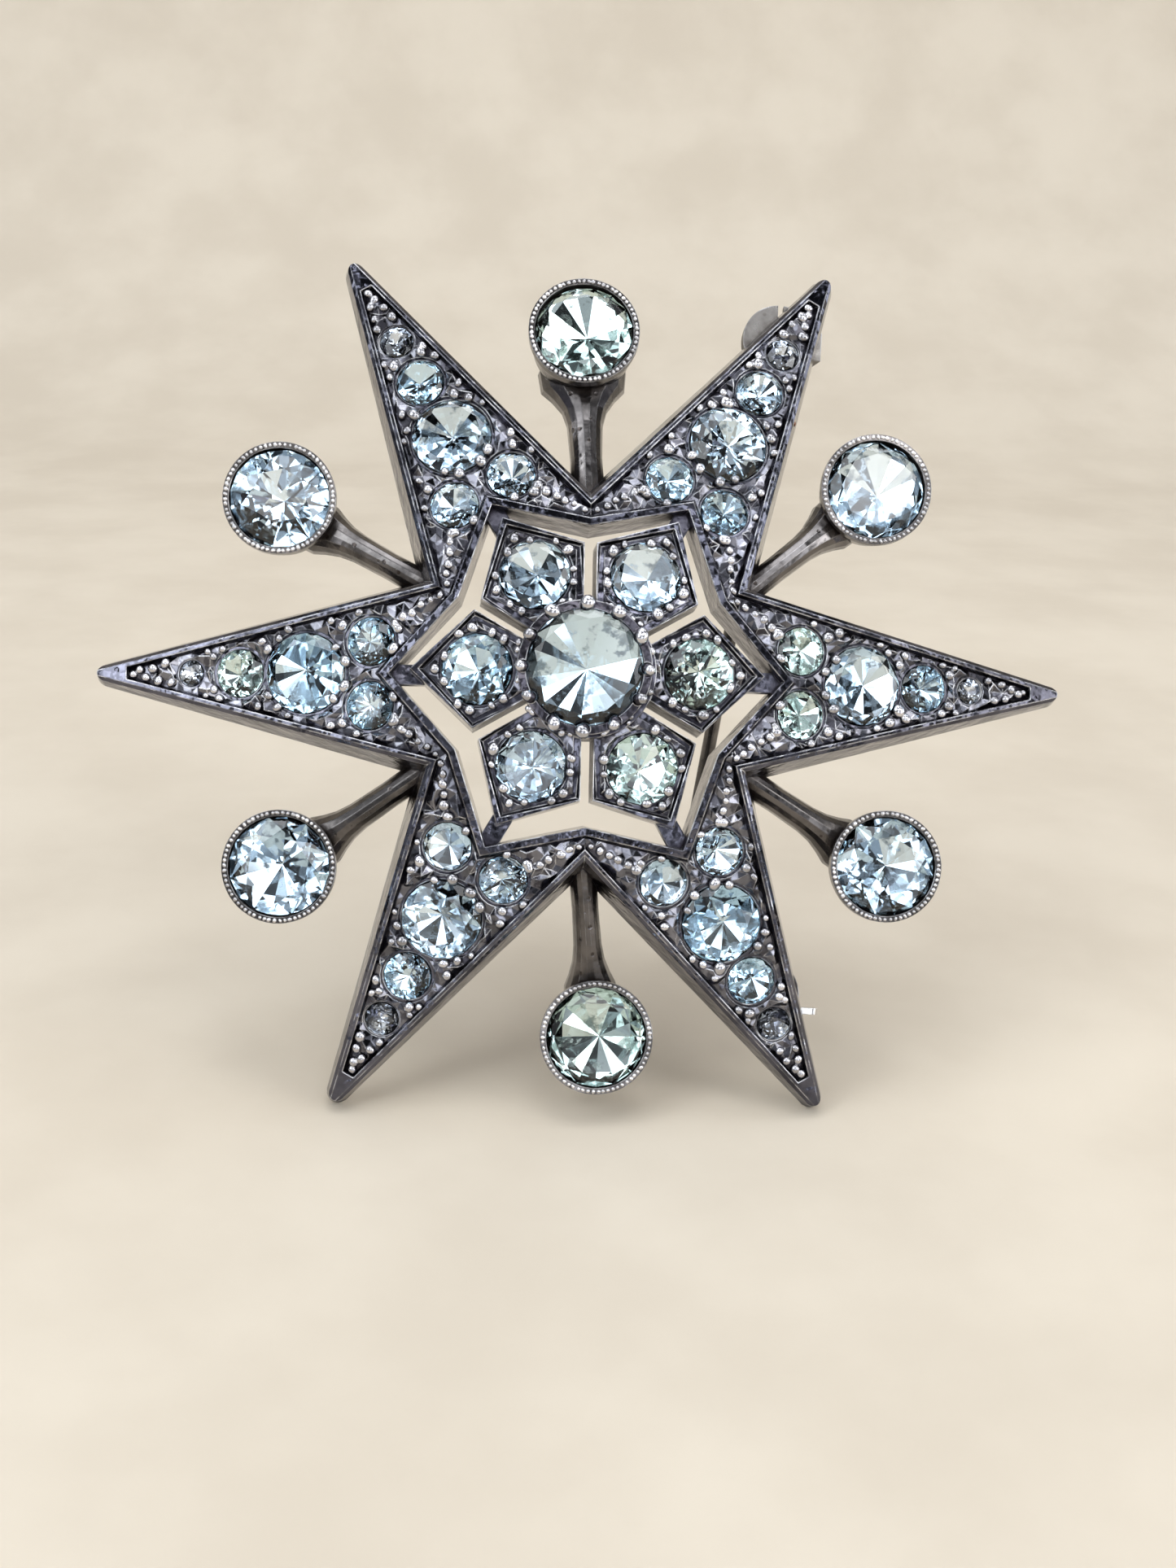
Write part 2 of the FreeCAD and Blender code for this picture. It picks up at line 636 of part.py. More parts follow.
def pieces():
    """Every node of the brooch in star axes, by name."""
    nodes = {"star_frame": star_frame(), "flower_plate": flower_plate()}
    nodes["centre_setting"] = centre_setting()
    nodes["centre_stone"] = in_centre(stone(CENTRE_STONE))
    for name, angle in RAYS.items():
        nodes["petal_stone_" + name] = in_flower(on_petal(stone(PETAL_STONE)), angle)
        for kind, places in ray_stones(is_side(name)).items():
            solids = [at_ray(in_field(stone(diameter), x, y), angle) for diameter, x, y in places]
            nodes["ray_" + kind + "_stone_" + name] = Part.makeCompound(solids)
    for name in COLLETS:
        nodes["collet_" + name] = at_collet(collet_cup(), name)
        girdle = V(0, 0, COLLET_GIRDLE)
        nodes["collet_stone_" + name] = at_collet(stone(COLLET_STONE).translated(girdle), name)
        nodes["stem_" + name] = stem(name, nodes["star_frame"])
    nodes["hinge_base"] = hinge_base()
    nodes["hinge_rivet"] = hinge_rivet()
    nodes["pin_stem"] = pin_stem()
    nodes["catch_base"] = catch_base()
    nodes["catch_housing"] = catch_housing()
    nodes["catch_roller"] = catch_roller()
    return nodes


def lean_back(frame):
    """Angle at which both lower ray tips and the point of the opened pin touch the ground."""
    points = frame.tessellate(LEAN_TOLERANCE)[0]
    tip = HINGE + PIN_DIRECTION * (PIN_LENGTH - PIN_POINT)
    low, high = 0.0, LEAN_LIMIT
    for _ in range(LEAN_ROUNDS):
        lean = (low + high) / 2
        up = V(0, math.cos(math.radians(lean)), math.sin(math.radians(lean)))
        foot = min(point.dot(up) for point in points)
        if tip.dot(up) - PIN_POINT > foot:
            low = lean
        else:
            high = lean
    return lean


def standing(nodes):
    """Move the nodes from star axes to row axes; also give the placement that does it."""
    upright = FreeCAD.Rotation(X_AXIS, 90 - lean_back(nodes["star_frame"]))
    turn = FreeCAD.Placement(ORIGIN, upright)
    turned = [shape.transformed(turn.toMatrix()) for shape in nodes.values()]
    box = Part.makeCompound(turned).optimalBoundingBox()
    shift = V(-(box.XMin + box.XMax) / 2, -(box.YMin + box.YMax) / 2, -box.ZMin)
    place = FreeCAD.Placement(shift, upright)
    return {name: shape.transformed(place.toMatrix()) for name, shape in nodes.items()}, place


def main():
    os.makedirs("parts", exist_ok=True)
    nodes, place = standing(pieces())
    for name, shape in nodes.items():
        shape.exportStep(os.path.join("parts", name + ".step"))
    along = CATCH_TURN.multVec(Y_AXIS)
    catch = HINGE + along * CATCH_DISTANCE
    print("nodes", len(nodes))
    print("lean", 90 - math.degrees(place.Rotation.Angle), "shift", place.Base)
    print("hinge", place.multVec(HINGE), "axis", place.Rotation.multVec(HINGE_TURN.multVec(X_AXIS)))
    print("catch", place.multVec(catch), "axis", place.Rotation.multVec(along * -1))
    print("pin points along", place.Rotation.multVec(PIN_DIRECTION))


main()
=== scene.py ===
import json
import math
import random

import bmesh
import bpy
from mathutils import Matrix, Vector
from mathutils.geometry import delaunay_2d_cdt, intersect_point_line


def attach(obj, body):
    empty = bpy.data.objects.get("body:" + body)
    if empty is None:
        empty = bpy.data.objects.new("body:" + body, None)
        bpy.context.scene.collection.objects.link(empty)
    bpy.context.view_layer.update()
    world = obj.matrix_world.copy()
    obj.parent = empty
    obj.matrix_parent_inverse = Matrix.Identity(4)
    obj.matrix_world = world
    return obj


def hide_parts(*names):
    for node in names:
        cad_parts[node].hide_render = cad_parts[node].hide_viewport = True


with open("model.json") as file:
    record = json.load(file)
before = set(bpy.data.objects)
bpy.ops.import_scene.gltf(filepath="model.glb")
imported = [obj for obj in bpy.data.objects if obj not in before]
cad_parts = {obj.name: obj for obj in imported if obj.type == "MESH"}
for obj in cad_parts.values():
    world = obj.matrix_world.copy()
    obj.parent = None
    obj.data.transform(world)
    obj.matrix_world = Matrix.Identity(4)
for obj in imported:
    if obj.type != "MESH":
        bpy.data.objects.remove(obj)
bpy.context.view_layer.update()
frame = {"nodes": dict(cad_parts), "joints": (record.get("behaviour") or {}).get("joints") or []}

# Star brooch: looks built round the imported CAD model. Lengths are in millimetres times MM.
#
# Star axes: X to the right, Y up the face, Z out of the face, origin at the star's centre in the
# plane of the ray tips. Ray axes are the star axes turned about Z until X runs along a ray.

MM = 0.001

# ---- Shape of the brooch, as the CAD model has it ----

HINGE_PLACE, HINGE_TURN, HINGE_HEIGHT = 21.2, 60.0, -2.8
TIP_RADIUS = 25.0
FRONT_SLOPE = 13.0
FIELD_DEPTH = 0.35
FIELD_END = 23.2
SEAT_SINK = 0.08
VALLEY_RADIUS = 9.0
OPENING_POINT, OPENING_VALLEY = 9.8, 7.45
SECTOR = 30.0
RAY_APEX = 25.87           # where the front edges of a ray would meet
PETAL_SLOPE = 9.6
PETAL_TIP, PETAL_TIP_HEIGHT, PETAL_SHOULDER, PETAL_GAP = 8.75, 4.0, 6.35, 0.58
PETAL_FIELD_DEPTH = 0.3
PETAL_PLACE, PETAL_STONE = 5.5, 3.5
FLOWER_RAISE = 0.2
CENTRE_STONE, CENTRE_ASIDE, CENTRE_RAISE, CENTRE_GIRDLE = 5.7, -0.22, 0.32, 5.0
HUB_RADIUS = 3.3
COLLET_PLACE, COLLET_HEIGHT, COLLET_STONE, COLLET_GIRDLE = 18.0, 1.4, 5.0, -0.5
MAIN_STONE, MAIN_PLACE = 4.0, 14.05
PAIR_STONE, PAIR_PLACE, PAIR_OFFSET = 2.4, 10.8, 1.6
SMALL_STONE, SMALL_PLACE = 2.4, 17.4
TIP_STONE, TIP_STONE_SIDE, TIP_PLACE = 1.7, 1.3, 19.95

# Rays: place on the star, in degrees
RAYS = {
    "right": 0, "upper_right": 60, "upper_left": 120,
    "left": 180, "lower_left": 240, "lower_right": 300,
}
# Collets: place on the star, how far each is bent round, and how far its face tips outwards, in degrees
COLLETS = {
    "upper_right": (30, 4.7, 0.0), "top": (90, 1.2, 9.0), "upper_left": (150, 0.2, 0.0),
    "lower_left": (210, 2.4, 0.0), "bottom": (270, 2.8, 0.0), "lower_right": (330, -0.4, 0.0),
}

LOOSE = random.Random(7)   # every random draw comes from here, in order


def star_matrix():
    """Star axes in the row frame: X is the row's, and Y runs up the face from the catch to the hinge."""
    places = {joint["name"]: Vector(joint["pos_m"]) for joint in frame["joints"]}
    hinge, catch = places["pin_swing"], places["catch_turn"]
    right = Vector((1, 0, 0))
    rise = hinge - catch
    up = (rise - right * rise.dot(right)).normalized()
    axes = Matrix((right, up, right.cross(up))).transposed()
    turn = math.radians(HINGE_TURN)
    place = Vector((HINGE_PLACE * math.cos(turn), HINGE_PLACE * math.sin(turn), HINGE_HEIGHT)) * MM
    return Matrix.Translation(hinge - axes @ place) @ axes.to_4x4()


STAR = star_matrix()


def turned(degrees, axis="Z"):
    return Matrix.Rotation(math.radians(degrees), 4, axis)


def moved(x, y, z):
    return Matrix.Translation(Vector((x, y, z)) * MM)


def tan(degrees):
    return math.tan(math.radians(degrees))


def front_height(x):
    """Height of a ray's front at x along it."""
    return (TIP_RADIUS - x) * tan(FRONT_SLOPE)


def on_ray(angle, x, y, depth):
    """Axes standing on a ray's front at (x, y), depth below it, with Z square to it."""
    place = STAR @ turned(angle) @ moved(x, y, front_height(x))
    return place @ turned(FRONT_SLOPE, "Y") @ moved(0, 0, -depth)


def on_petal(angle, x, y, depth):
    """Axes standing on a petal's front at (x, y), depth below it, with Z square to it."""
    height = PETAL_TIP_HEIGHT + (PETAL_TIP - x) * tan(PETAL_SLOPE)
    place = moved(0, FLOWER_RAISE, 0) @ turned(angle) @ moved(x, y, height)
    return STAR @ place @ turned(PETAL_SLOPE, "Y") @ moved(0, 0, -depth)


def on_collet(name, depth=0.0):
    """Axes standing in the middle of a collet's face, depth below it, with Z square to it."""
    angle, bend, tip_out = COLLETS[name]
    place = turned(angle + bend) @ moved(COLLET_PLACE, 0, COLLET_HEIGHT)
    return STAR @ place @ turned(tip_out, "Y") @ moved(0, 0, -depth)


def polar(radius, degrees):
    return (radius * math.cos(math.radians(degrees)), radius * math.sin(math.radians(degrees)))


# ---- Camera, in star axes ----

CAMERA_PLACE = (-4.27, -8.38, 88.3)
CAMERA_AIM = (0.30, -5.15, 0.0)
CAMERA_ROLL = 1.03
CAMERA_LENS = 39.5
NEAREST_SEEN = 1.0


def add_camera():
    data = bpy.data.cameras.new("camera")
    data.lens = CAMERA_LENS
    data.clip_start = NEAREST_SEEN * MM
    camera = bpy.data.objects.new("camera", data)
    bpy.context.scene.collection.objects.link(camera)
    place = Vector(CAMERA_PLACE)
    look = (Vector(CAMERA_AIM) - place).normalized()
    side = look.cross(Vector((0, 1, 0))).normalized()
    axes = Matrix((side, side.cross(look), -look)).transposed().to_4x4()
    camera.matrix_world = STAR @ Matrix.Translation(place * MM) @ axes @ turned(CAMERA_ROLL)
    bpy.context.scene.camera = camera


add_camera()

# ---- Small node tools ----

# The mix node's sockets for colours
MIX_FACTOR, MIX_FIRST, MIX_SECOND, MIX_RESULT = 0, 6, 7, 2


class Nodes:
    """Short way to lay out a material's nodes."""

    def __init__(self, name):
        self.material = bpy.data.materials.new(name)
        self.material.use_nodes = True
        self.tree = self.material.node_tree
        self.tree.nodes.clear()
        self.output = self.tree.nodes.new("ShaderNodeOutputMaterial")

    def add(self, kind, settings=None, **inputs):
        node = self.tree.nodes.new("ShaderNode" + kind)
        for key, value in (settings or {}).items():
            setattr(node, key, value)
        for key, value in inputs.items():
            self.put(node, key.replace("_", " "), value)
        return node

    def put(self, node, socket, value):
        target = node.inputs[socket]
        if isinstance(value, bpy.types.NodeSocket):
            self.tree.links.new(value, target)
        else:
            target.default_value = value

    def math(self, operation, first, second):
        node = self.tree.nodes.new("ShaderNodeMath")
        node.operation = operation
        self.put(node, 0, first)
        self.put(node, 1, second)
        return node.outputs[0]

    def ramp(self, value, low, high, to_low=0.0, to_high=1.0):
        """Value eased from low..high to to_low..to_high."""
        node = self.tree.nodes.new("ShaderNodeMapRange")
        node.interpolation_type = "SMOOTHSTEP"
        for key, amount in (("From Min", low), ("From Max", high), ("To Min", to_low), ("To Max", to_high)):
            node.inputs[key].default_value = amount
        self.tree.links.new(value, node.inputs["Value"])
        return node.outputs["Result"]

    def mix(self, factor, first, second):
        """Mix of two colours."""
        node = self.tree.nodes.new("ShaderNodeMix")
        node.data_type = "RGBA"
        self.put(node, MIX_FACTOR, factor)
        self.put(node, MIX_FIRST, first)
        self.put(node, MIX_SECOND, second)
        return node.outputs[MIX_RESULT]

    def noise(self, size, detail=3.0, rough=0.5):
        """Noise whose features are about size millimetres."""
        scale = 1 / (size * MM)
        node = self.add("TexNoise", None, Vector=self.place(), Scale=scale, Detail=detail, Roughness=rough)
        return node.outputs["Fac"]

    def stretched(self, scale):
        """Object place with each axis scaled, for streaks."""
        mapping = self.add("Mapping", {"vector_type": "POINT"}, Vector=self.place(), Scale=scale)
        return mapping.outputs["Vector"]

    def place(self):
        if not hasattr(self, "coordinates"):
            self.coordinates = self.tree.nodes.new("ShaderNodeTexCoord").outputs["Object"]
        return self.coordinates

    def finish(self, shader):
        self.tree.links.new(shader, self.output.inputs["Surface"])
        return self.material


def rgb(red, green, blue):
    return (red, green, blue, 1.0)


# ---- Materials ----

WORN = (0.88, 0.87, 0.88)
DULL_SHARE = 0.45          # brightness of tarnished metal beside clean metal
# Sizes of the silver's marks, in millimetres
TARNISH_SIZE = 2.4
SPECKLE_SIZE = 0.30
PATCH_SIZE = 0.55
WEAR_SIZE = 0.9
PIT_SPACING = 0.7
HAMMER_SIZE = 1.0
SCRATCH_SIZE, SCRATCH_RUN = 1.6, (1.0, 14.0, 3.0)
EDGE_WIDTH = 0.10
RELIEF = 0.12
# How much the marks tell, as shares
SPECKLE_SHARE = 0.25
SCRATCH_DEPTH = 0.04
PIT_DEPTH = 0.25
SPECKLE_DEPTH = 0.03
OXIDE_ROUGHER = 0.30
WORN_ROUGHER = 0.22
HOLLOW_SAMPLES, EDGE_SAMPLES = 6, 4
PASTE_INDEX = 1.56         # refractive index of lead glass


def silver(
    name, bright, oxide_and_shade, rough, bump, oxide_and_shade_reach=0.8, wave=0.35, pitted=0.3, patches=0.0, rubbed=0.85
):
    """Darkened silver: bright worn edges, black oxide and painted shade in the hollows, scratches, pits and
    patches.

    Its first colour is the clean metal's; its second is the black in the hollows, partly oxide and partly
    painted shade. Rough is its roughness where clean.
    The occlusion reach is the width of the hollows that stay black, in millimetres. Bump and wave are how
    deep its relief and its hammering show.
    Pitted, patches and rubbed are how strongly pits, dark patches and worn edges show.
    """
    n = Nodes(name)
    tarnish = n.noise(TARNISH_SIZE, 4.0, 0.6)
    speckle = n.noise(SPECKLE_SIZE, 3.0, 0.6)
    # Occlusion mask: low in hollows and crowded places, such as the undersides of beads. There the metal
    # takes the black colour, partly as oxide and partly as painted shade.
    open_air = n.add("AmbientOcclusion", {"samples": HOLLOW_SAMPLES}, Distance=oxide_and_shade_reach * MM).outputs["AO"]
    open_air = n.math("SUBTRACT", open_air, n.math("MULTIPLY", speckle, SPECKLE_SHARE))
    clean_and_unshaded = n.ramp(open_air, 0.20, 0.68)
    if patches:
        stain = n.ramp(n.noise(PATCH_SIZE, 2.0), 0.50, 0.60, 1.0, 1.0 - patches)
        clean_and_unshaded = n.math("MULTIPLY", clean_and_unshaded, stain)
    edge = n.add("Bevel", {"samples": EDGE_SAMPLES}, Radius=EDGE_WIDTH * MM).outputs["Normal"]
    facing = n.add("VectorMath", {"operation": "DOT_PRODUCT"})
    n.put(facing, 0, edge)
    n.put(facing, 1, n.add("NewGeometry").outputs["True Normal"])
    worn = n.ramp(n.math("SUBTRACT", 1.0, facing.outputs["Value"]), 0.02, 0.12, 0.0, rubbed)
    worn = n.math("MULTIPLY", worn, n.ramp(n.noise(WEAR_SIZE, 2.0), 0.42, 0.56, 0.2, 1.0))
    dull = [channel * DULL_SHARE for channel in bright]
    tone = n.mix(n.ramp(tarnish, 0.36, 0.66), rgb(*bright), rgb(*dull))
    pits = n.add("TexVoronoi", {"feature": "F1"}, Vector=n.place(), Scale=1 / (PIT_SPACING * MM))
    pits = n.math("ADD", pits.outputs["Distance"], n.math("MULTIPLY", speckle, SPECKLE_SHARE))
    pits = n.ramp(pits, 0.20, 0.34)
    shown = n.math("MULTIPLY", clean_and_unshaded, n.ramp(pits, 0.0, 1.0, 1.0 - pitted, 1.0))
    # Painted shade and oxide: black where the occlusion mask is low, the metal's own tone where it is open.
    tone = n.mix(shown, rgb(*oxide_and_shade), tone)
    tone = n.mix(worn, tone, rgb(*WORN))
    polish = n.ramp(tarnish, 0.3, 0.7, rough * 0.6, rough * 1.5)
    roughness = n.math("ADD", polish, n.ramp(clean_and_unshaded, 0.0, 1.0, OXIDE_ROUGHER, 0.0))
    roughness = n.math("ADD", roughness, n.math("MULTIPLY", worn, WORN_ROUGHER))
    hammered = n.math("MULTIPLY", n.noise(HAMMER_SIZE, 2.0), wave)
    streaks, scale = n.stretched(SCRATCH_RUN), 1 / (SCRATCH_SIZE * MM)
    scratches = n.add("TexNoise", None, Vector=streaks, Scale=scale, Detail=2.0).outputs["Fac"]
    height = n.math("ADD", hammered, n.math("MULTIPLY", scratches, SCRATCH_DEPTH))
    height = n.math("ADD", height, n.math("MULTIPLY", pits, PIT_DEPTH * pitted))
    height = n.math("ADD", height, n.math("MULTIPLY", speckle, SPECKLE_DEPTH))
    relief = n.add("Bump", None, Strength=bump, Distance=RELIEF * MM, Height=height, Normal=edge)
    shader = n.add("BsdfPrincipled", None, Base_Color=tone, Metallic=1.0, Roughness=roughness)
    n.put(shader, "Normal", relief.outputs["Normal"])
    return n.finish(shader.outputs["BSDF"])


def glass(name, tint):
    """Polished paste with faint wear."""
    n = Nodes(name)
    wear = n.ramp(n.noise(0.6, 4.0, 0.7), 0.5, 0.75, 0.008, 0.048)
    shader = n.add("BsdfPrincipled", None, Base_Color=rgb(*tint), Roughness=wear)
    shader.inputs["Transmission Weight"].default_value = 1.0
    shader.inputs["IOR"].default_value = PASTE_INDEX
    return n.finish(shader.outputs["BSDF"])


def foil(name, tint, aged):
    """Foil behind a paste: a mirror with tarnished spots."""
    n = Nodes(name)
    spots = n.ramp(n.noise(0.8, 3.0, 0.6), 0.52, 0.66)
    tone = n.mix(spots, rgb(*tint), rgb(*aged))
    rough = n.ramp(spots, 0.0, 1.0, 0.04, 0.20)
    shader = n.add("BsdfPrincipled", None, Base_Color=tone, Metallic=1.0, Roughness=rough)
    return n.finish(shader.outputs["BSDF"])


# Black of the oxide in the hollows. The occlusion mask also uses it as painted shade there.
OXIDE_AND_SHADE = (0.022, 0.019, 0.026)
BROWN_OXIDE_AND_SHADE = (0.03, 0.022, 0.018)
SILVER = silver("oxidised_silver", (0.118, 0.118, 0.148), OXIDE_AND_SHADE, rough=0.11, bump=1.0, wave=0.9, rubbed=1.0)
BRIGHT_CUT = silver(
    "bright_cut_silver", (0.21, 0.21, 0.24), OXIDE_AND_SHADE,
    rough=0.06, bump=0.10, oxide_and_shade_reach=0.45, wave=0.1, pitted=0.1, patches=0.6, rubbed=0.9,
)
# Beads: the wide occlusion reach paints shade on their lower sides as well as oxide.
GRAIN = silver("worn_silver_grains", (0.64, 0.63, 0.66), OXIDE_AND_SHADE, rough=0.06, bump=0.16, oxide_and_shade_reach=0.75, wave=0.2)
COLLAR = silver("blackened_collar", (0.07, 0.066, 0.08), OXIDE_AND_SHADE, rough=0.14, bump=0.9, oxide_and_shade_reach=0.6, wave=0.9)
CUP = silver(
    "pitted_silver_cups", (0.15, 0.139, 0.136), BROWN_OXIDE_AND_SHADE,
    rough=0.2, bump=0.6, oxide_and_shade_reach=1.1, wave=0.5, pitted=0.75, rubbed=0.45,
)
MILLED = silver("milled_beads", (0.80, 0.78, 0.79), OXIDE_AND_SHADE, rough=0.12, bump=0.05, oxide_and_shade_reach=0.16, wave=0.1)
NICKEL = silver("dull_nickel", (0.24, 0.225, 0.21), (0.06, 0.045, 0.035), rough=0.34, bump=0.3, wave=0.2)
# Catch pieces coloured near black: painted shade, for the shadow they lie in behind the lower right ray.
DARK_CATCH = silver("catch_with_painted_shade", (0.07, 0.062, 0.065), (0.02, 0.016, 0.014), rough=0.36, bump=0.3)
PIN_STEEL = silver("dark_steel", (0.17, 0.16, 0.155), BROWN_OXIDE_AND_SHADE, rough=0.2, bump=0.15, oxide_and_shade_reach=0.4)
WIRE = silver(
    "bright_wire", (0.70, 0.68, 0.66), (0.12, 0.10, 0.09), rough=0.2, bump=0.12, oxide_and_shade_reach=0.5, pitted=0.2
)
SOLDER = silver("copper_solder", (0.42, 0.20, 0.13), (0.09, 0.035, 0.025), rough=0.34, bump=0.5)

# Pastes: colours of the glass, of the foil behind it and of the foil's tarnished spots
PASTE_COLOURS = {
    "ice": ((0.965, 0.985, 1.0), (0.72, 0.83, 0.91), (0.26, 0.32, 0.37)),
    "blue": ((0.95, 0.98, 1.0), (0.67, 0.81, 0.90), (0.24, 0.31, 0.36)),
    "green": ((0.965, 0.99, 0.98), (0.72, 0.83, 0.82), (0.27, 0.33, 0.31)),
    "smoky": ((0.92, 0.94, 0.97), (0.74, 0.78, 0.83), (0.14, 0.15, 0.18)),
}
PASTES = {}
for paste, (clear, foiled, aged_foil) in PASTE_COLOURS.items():
    PASTES[paste] = (glass("paste_" + paste, clear), foil("foil_" + paste, foiled, aged_foil))


# ---- Mesh tools ----

def make_object(name, mesh, materials, smooth=False):
    for material in materials:
        mesh.materials.append(material)
    for polygon in mesh.polygons:
        polygon.use_smooth = smooth
    piece = bpy.data.objects.new(name, mesh)
    bpy.context.scene.collection.objects.link(piece)
    return piece


CROWN_SLOPE = 0.62         # rise of the main crown facets
GIRDLE_HIGH = 0.05         # as a share of the stone's width
CULET_ASIDE = 0.05         # as a share of the stone's width
BACK_UNEVEN = 0.06         # as a share of the stone's radius
CROWN, BACK = 0, 1         # material slots of a stone
HALF_STEP = 0.5            # turn of a middle ring, in steps of its corners


def cone_facets(bm, top, middles, girdle, slot):
    """One side of a brilliant: folded kites from top to the girdle, with pairs of triangles between them.

    Top is the ring of table corners, or the culet alone. Middles are the ring half a step round from them.
    """
    sides = len(middles)
    for i in range(sides):
        peak = top[i % len(top)]
        before, after = middles[i - 1], middles[i]
        corners = [(peak, before, girdle[2 * i]), (peak, girdle[2 * i], after)]
        corners.append((after, girdle[2 * i], girdle[2 * i + 1]))
        corners.append((after, girdle[2 * i + 1], girdle[(2 * i + 2) % len(girdle)]))
        if len(top) > 1:
            corners.append((peak, after, top[(i + 1) % sides]))
        for facet in corners:
            bm.faces.new(facet).material_index = slot


def stone_mesh(bm, diameter, cut, matrix):
    """Paste with its girdle's foot at height 0: clear brilliant-cut crown and foiled back.

    The cut is its sides, the shares of its width at the table and at the back's middle ring, and the back's
    slope.
    """
    sides, table, middle, back_slope = cut
    radius = diameter / 2
    girdle_top = diameter * GIRDLE_HIGH
    half_step = math.cos(math.pi / sides)
    square = matrix.to_3x3() @ Vector((0, 0, 1))

    def ring(count, share, height, start=0.0):
        made = []
        for index in range(count):
            turn = 2 * math.pi * (index + start) / count
            spot = Vector((radius * share * math.cos(turn), radius * share * math.sin(turn), height))
            made.append(bm.verts.new(matrix @ (spot * MM)))
        return made

    def crown_height(share):
        return girdle_top + radius * (1 - share) * CROWN_SLOPE

    def back_height(share):
        return radius * (share - 1) * back_slope

    crown_middle = (1 + table) / 2
    upper, lower = ring(2 * sides, 1.0, girdle_top), ring(2 * sides, 1.0, 0.0)
    table_ring = ring(sides, table, crown_height(table))
    aside = Vector((LOOSE.uniform(-1, 1), LOOSE.uniform(-1, 1), 0)) * diameter * CULET_ASIDE
    culet = bm.verts.new(matrix @ ((aside + Vector((0, 0, back_height(0)))) * MM))
    bm.faces.new(table_ring).material_index = CROWN
    crown_ring = ring(sides, crown_middle, crown_height(crown_middle * half_step), HALF_STEP)
    cone_facets(bm, table_ring, crown_ring, upper, CROWN)
    back_ring = ring(sides, middle, back_height(middle * half_step), HALF_STEP)
    for vert in back_ring:
        vert.co += square * (LOOSE.uniform(-1, 1) * radius * BACK_UNEVEN * MM)
    cone_facets(bm, [culet], back_ring, lower, BACK)
    for i in range(2 * sides):
        j = (i + 1) % (2 * sides)
        bm.faces.new((upper[i], lower[i], lower[j], upper[j])).material_index = BACK


def finished_mesh(name, bm):
    """Mesh of a finished bmesh, with its faces turned outwards."""
    bmesh.ops.recalc_face_normals(bm, faces=bm.faces)
    mesh = bpy.data.meshes.new(name)
    bm.to_mesh(mesh)
    bm.free()
    return mesh


ASKEW = 2.4                # most tilt of a stone in its seat, in degrees
# A bead's length, width and height, as shares of its size
BEAD_LENGTH, BEAD_WIDTH, BEAD_HEIGHT = (0.85, 1.25), (0.85, 1.05), 0.8
BEAD_SEGMENTS, BEAD_RINGS = 12, 8


def add_stones(node, kind, stones):
    """Faceted stones for one CAD node. Each is (diameter, cut, matrix), and sits a little askew."""
    bm = bmesh.new()
    for diameter, cut, matrix in stones:
        askew = turned(LOOSE.uniform(-ASKEW, ASKEW), "X") @ turned(LOOSE.uniform(-ASKEW, ASKEW), "Y")
        stone_mesh(bm, diameter, cut, matrix @ askew @ turned(LOOSE.uniform(0, 360)))
    piece = make_object("faceted_" + node, finished_mesh("faceted_" + node, bm), PASTES[kind])
    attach(piece, "brooch")
    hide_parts(node)


def add_bead(bm, radius, matrix):
    """Low bead, a little longer one way than the other."""
    stretch = Matrix.Diagonal((LOOSE.uniform(*BEAD_LENGTH), LOOSE.uniform(*BEAD_WIDTH), BEAD_HEIGHT, 1))
    shape = matrix @ turned(LOOSE.uniform(0, 360)) @ stretch
    bmesh.ops.create_uvsphere(
        bm, u_segments=BEAD_SEGMENTS, v_segments=BEAD_RINGS, radius=radius * MM, matrix=shape
    )


def add_beads(name, beads, material):
    """Grain beads, each (radius, matrix)."""
    bm = bmesh.new()
    for radius, matrix in beads:
        add_bead(bm, radius, matrix)
    piece = make_object(name, finished_mesh(name, bm), [material], smooth=True)
    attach(piece, "brooch")


# ---- Stones ----

KINDS = ("ice", "ice", "blue", "green")
# Cuts, as stone_mesh takes them
CUTS = ((8, 0.56, 0.30, 0.42), (8, 0.62, 0.62, 0.34), (8, 0.74, 0.80, 0.30), (10, 0.76, 0.84, 0.38))
CENTRE_CUT = (12, 0.82, 0.93, 0.24)
TIP_CUT = (6, 0.5, 0.4, 0.45)


def any_kind():
    return LOOSE.choice(KINDS)


def any_cut():
    return LOOSE.choice(CUTS)


def tip_stone(name):
    """Width of a ray's tip stone."""
    return TIP_STONE_SIDE if name in ("left", "right") else TIP_STONE


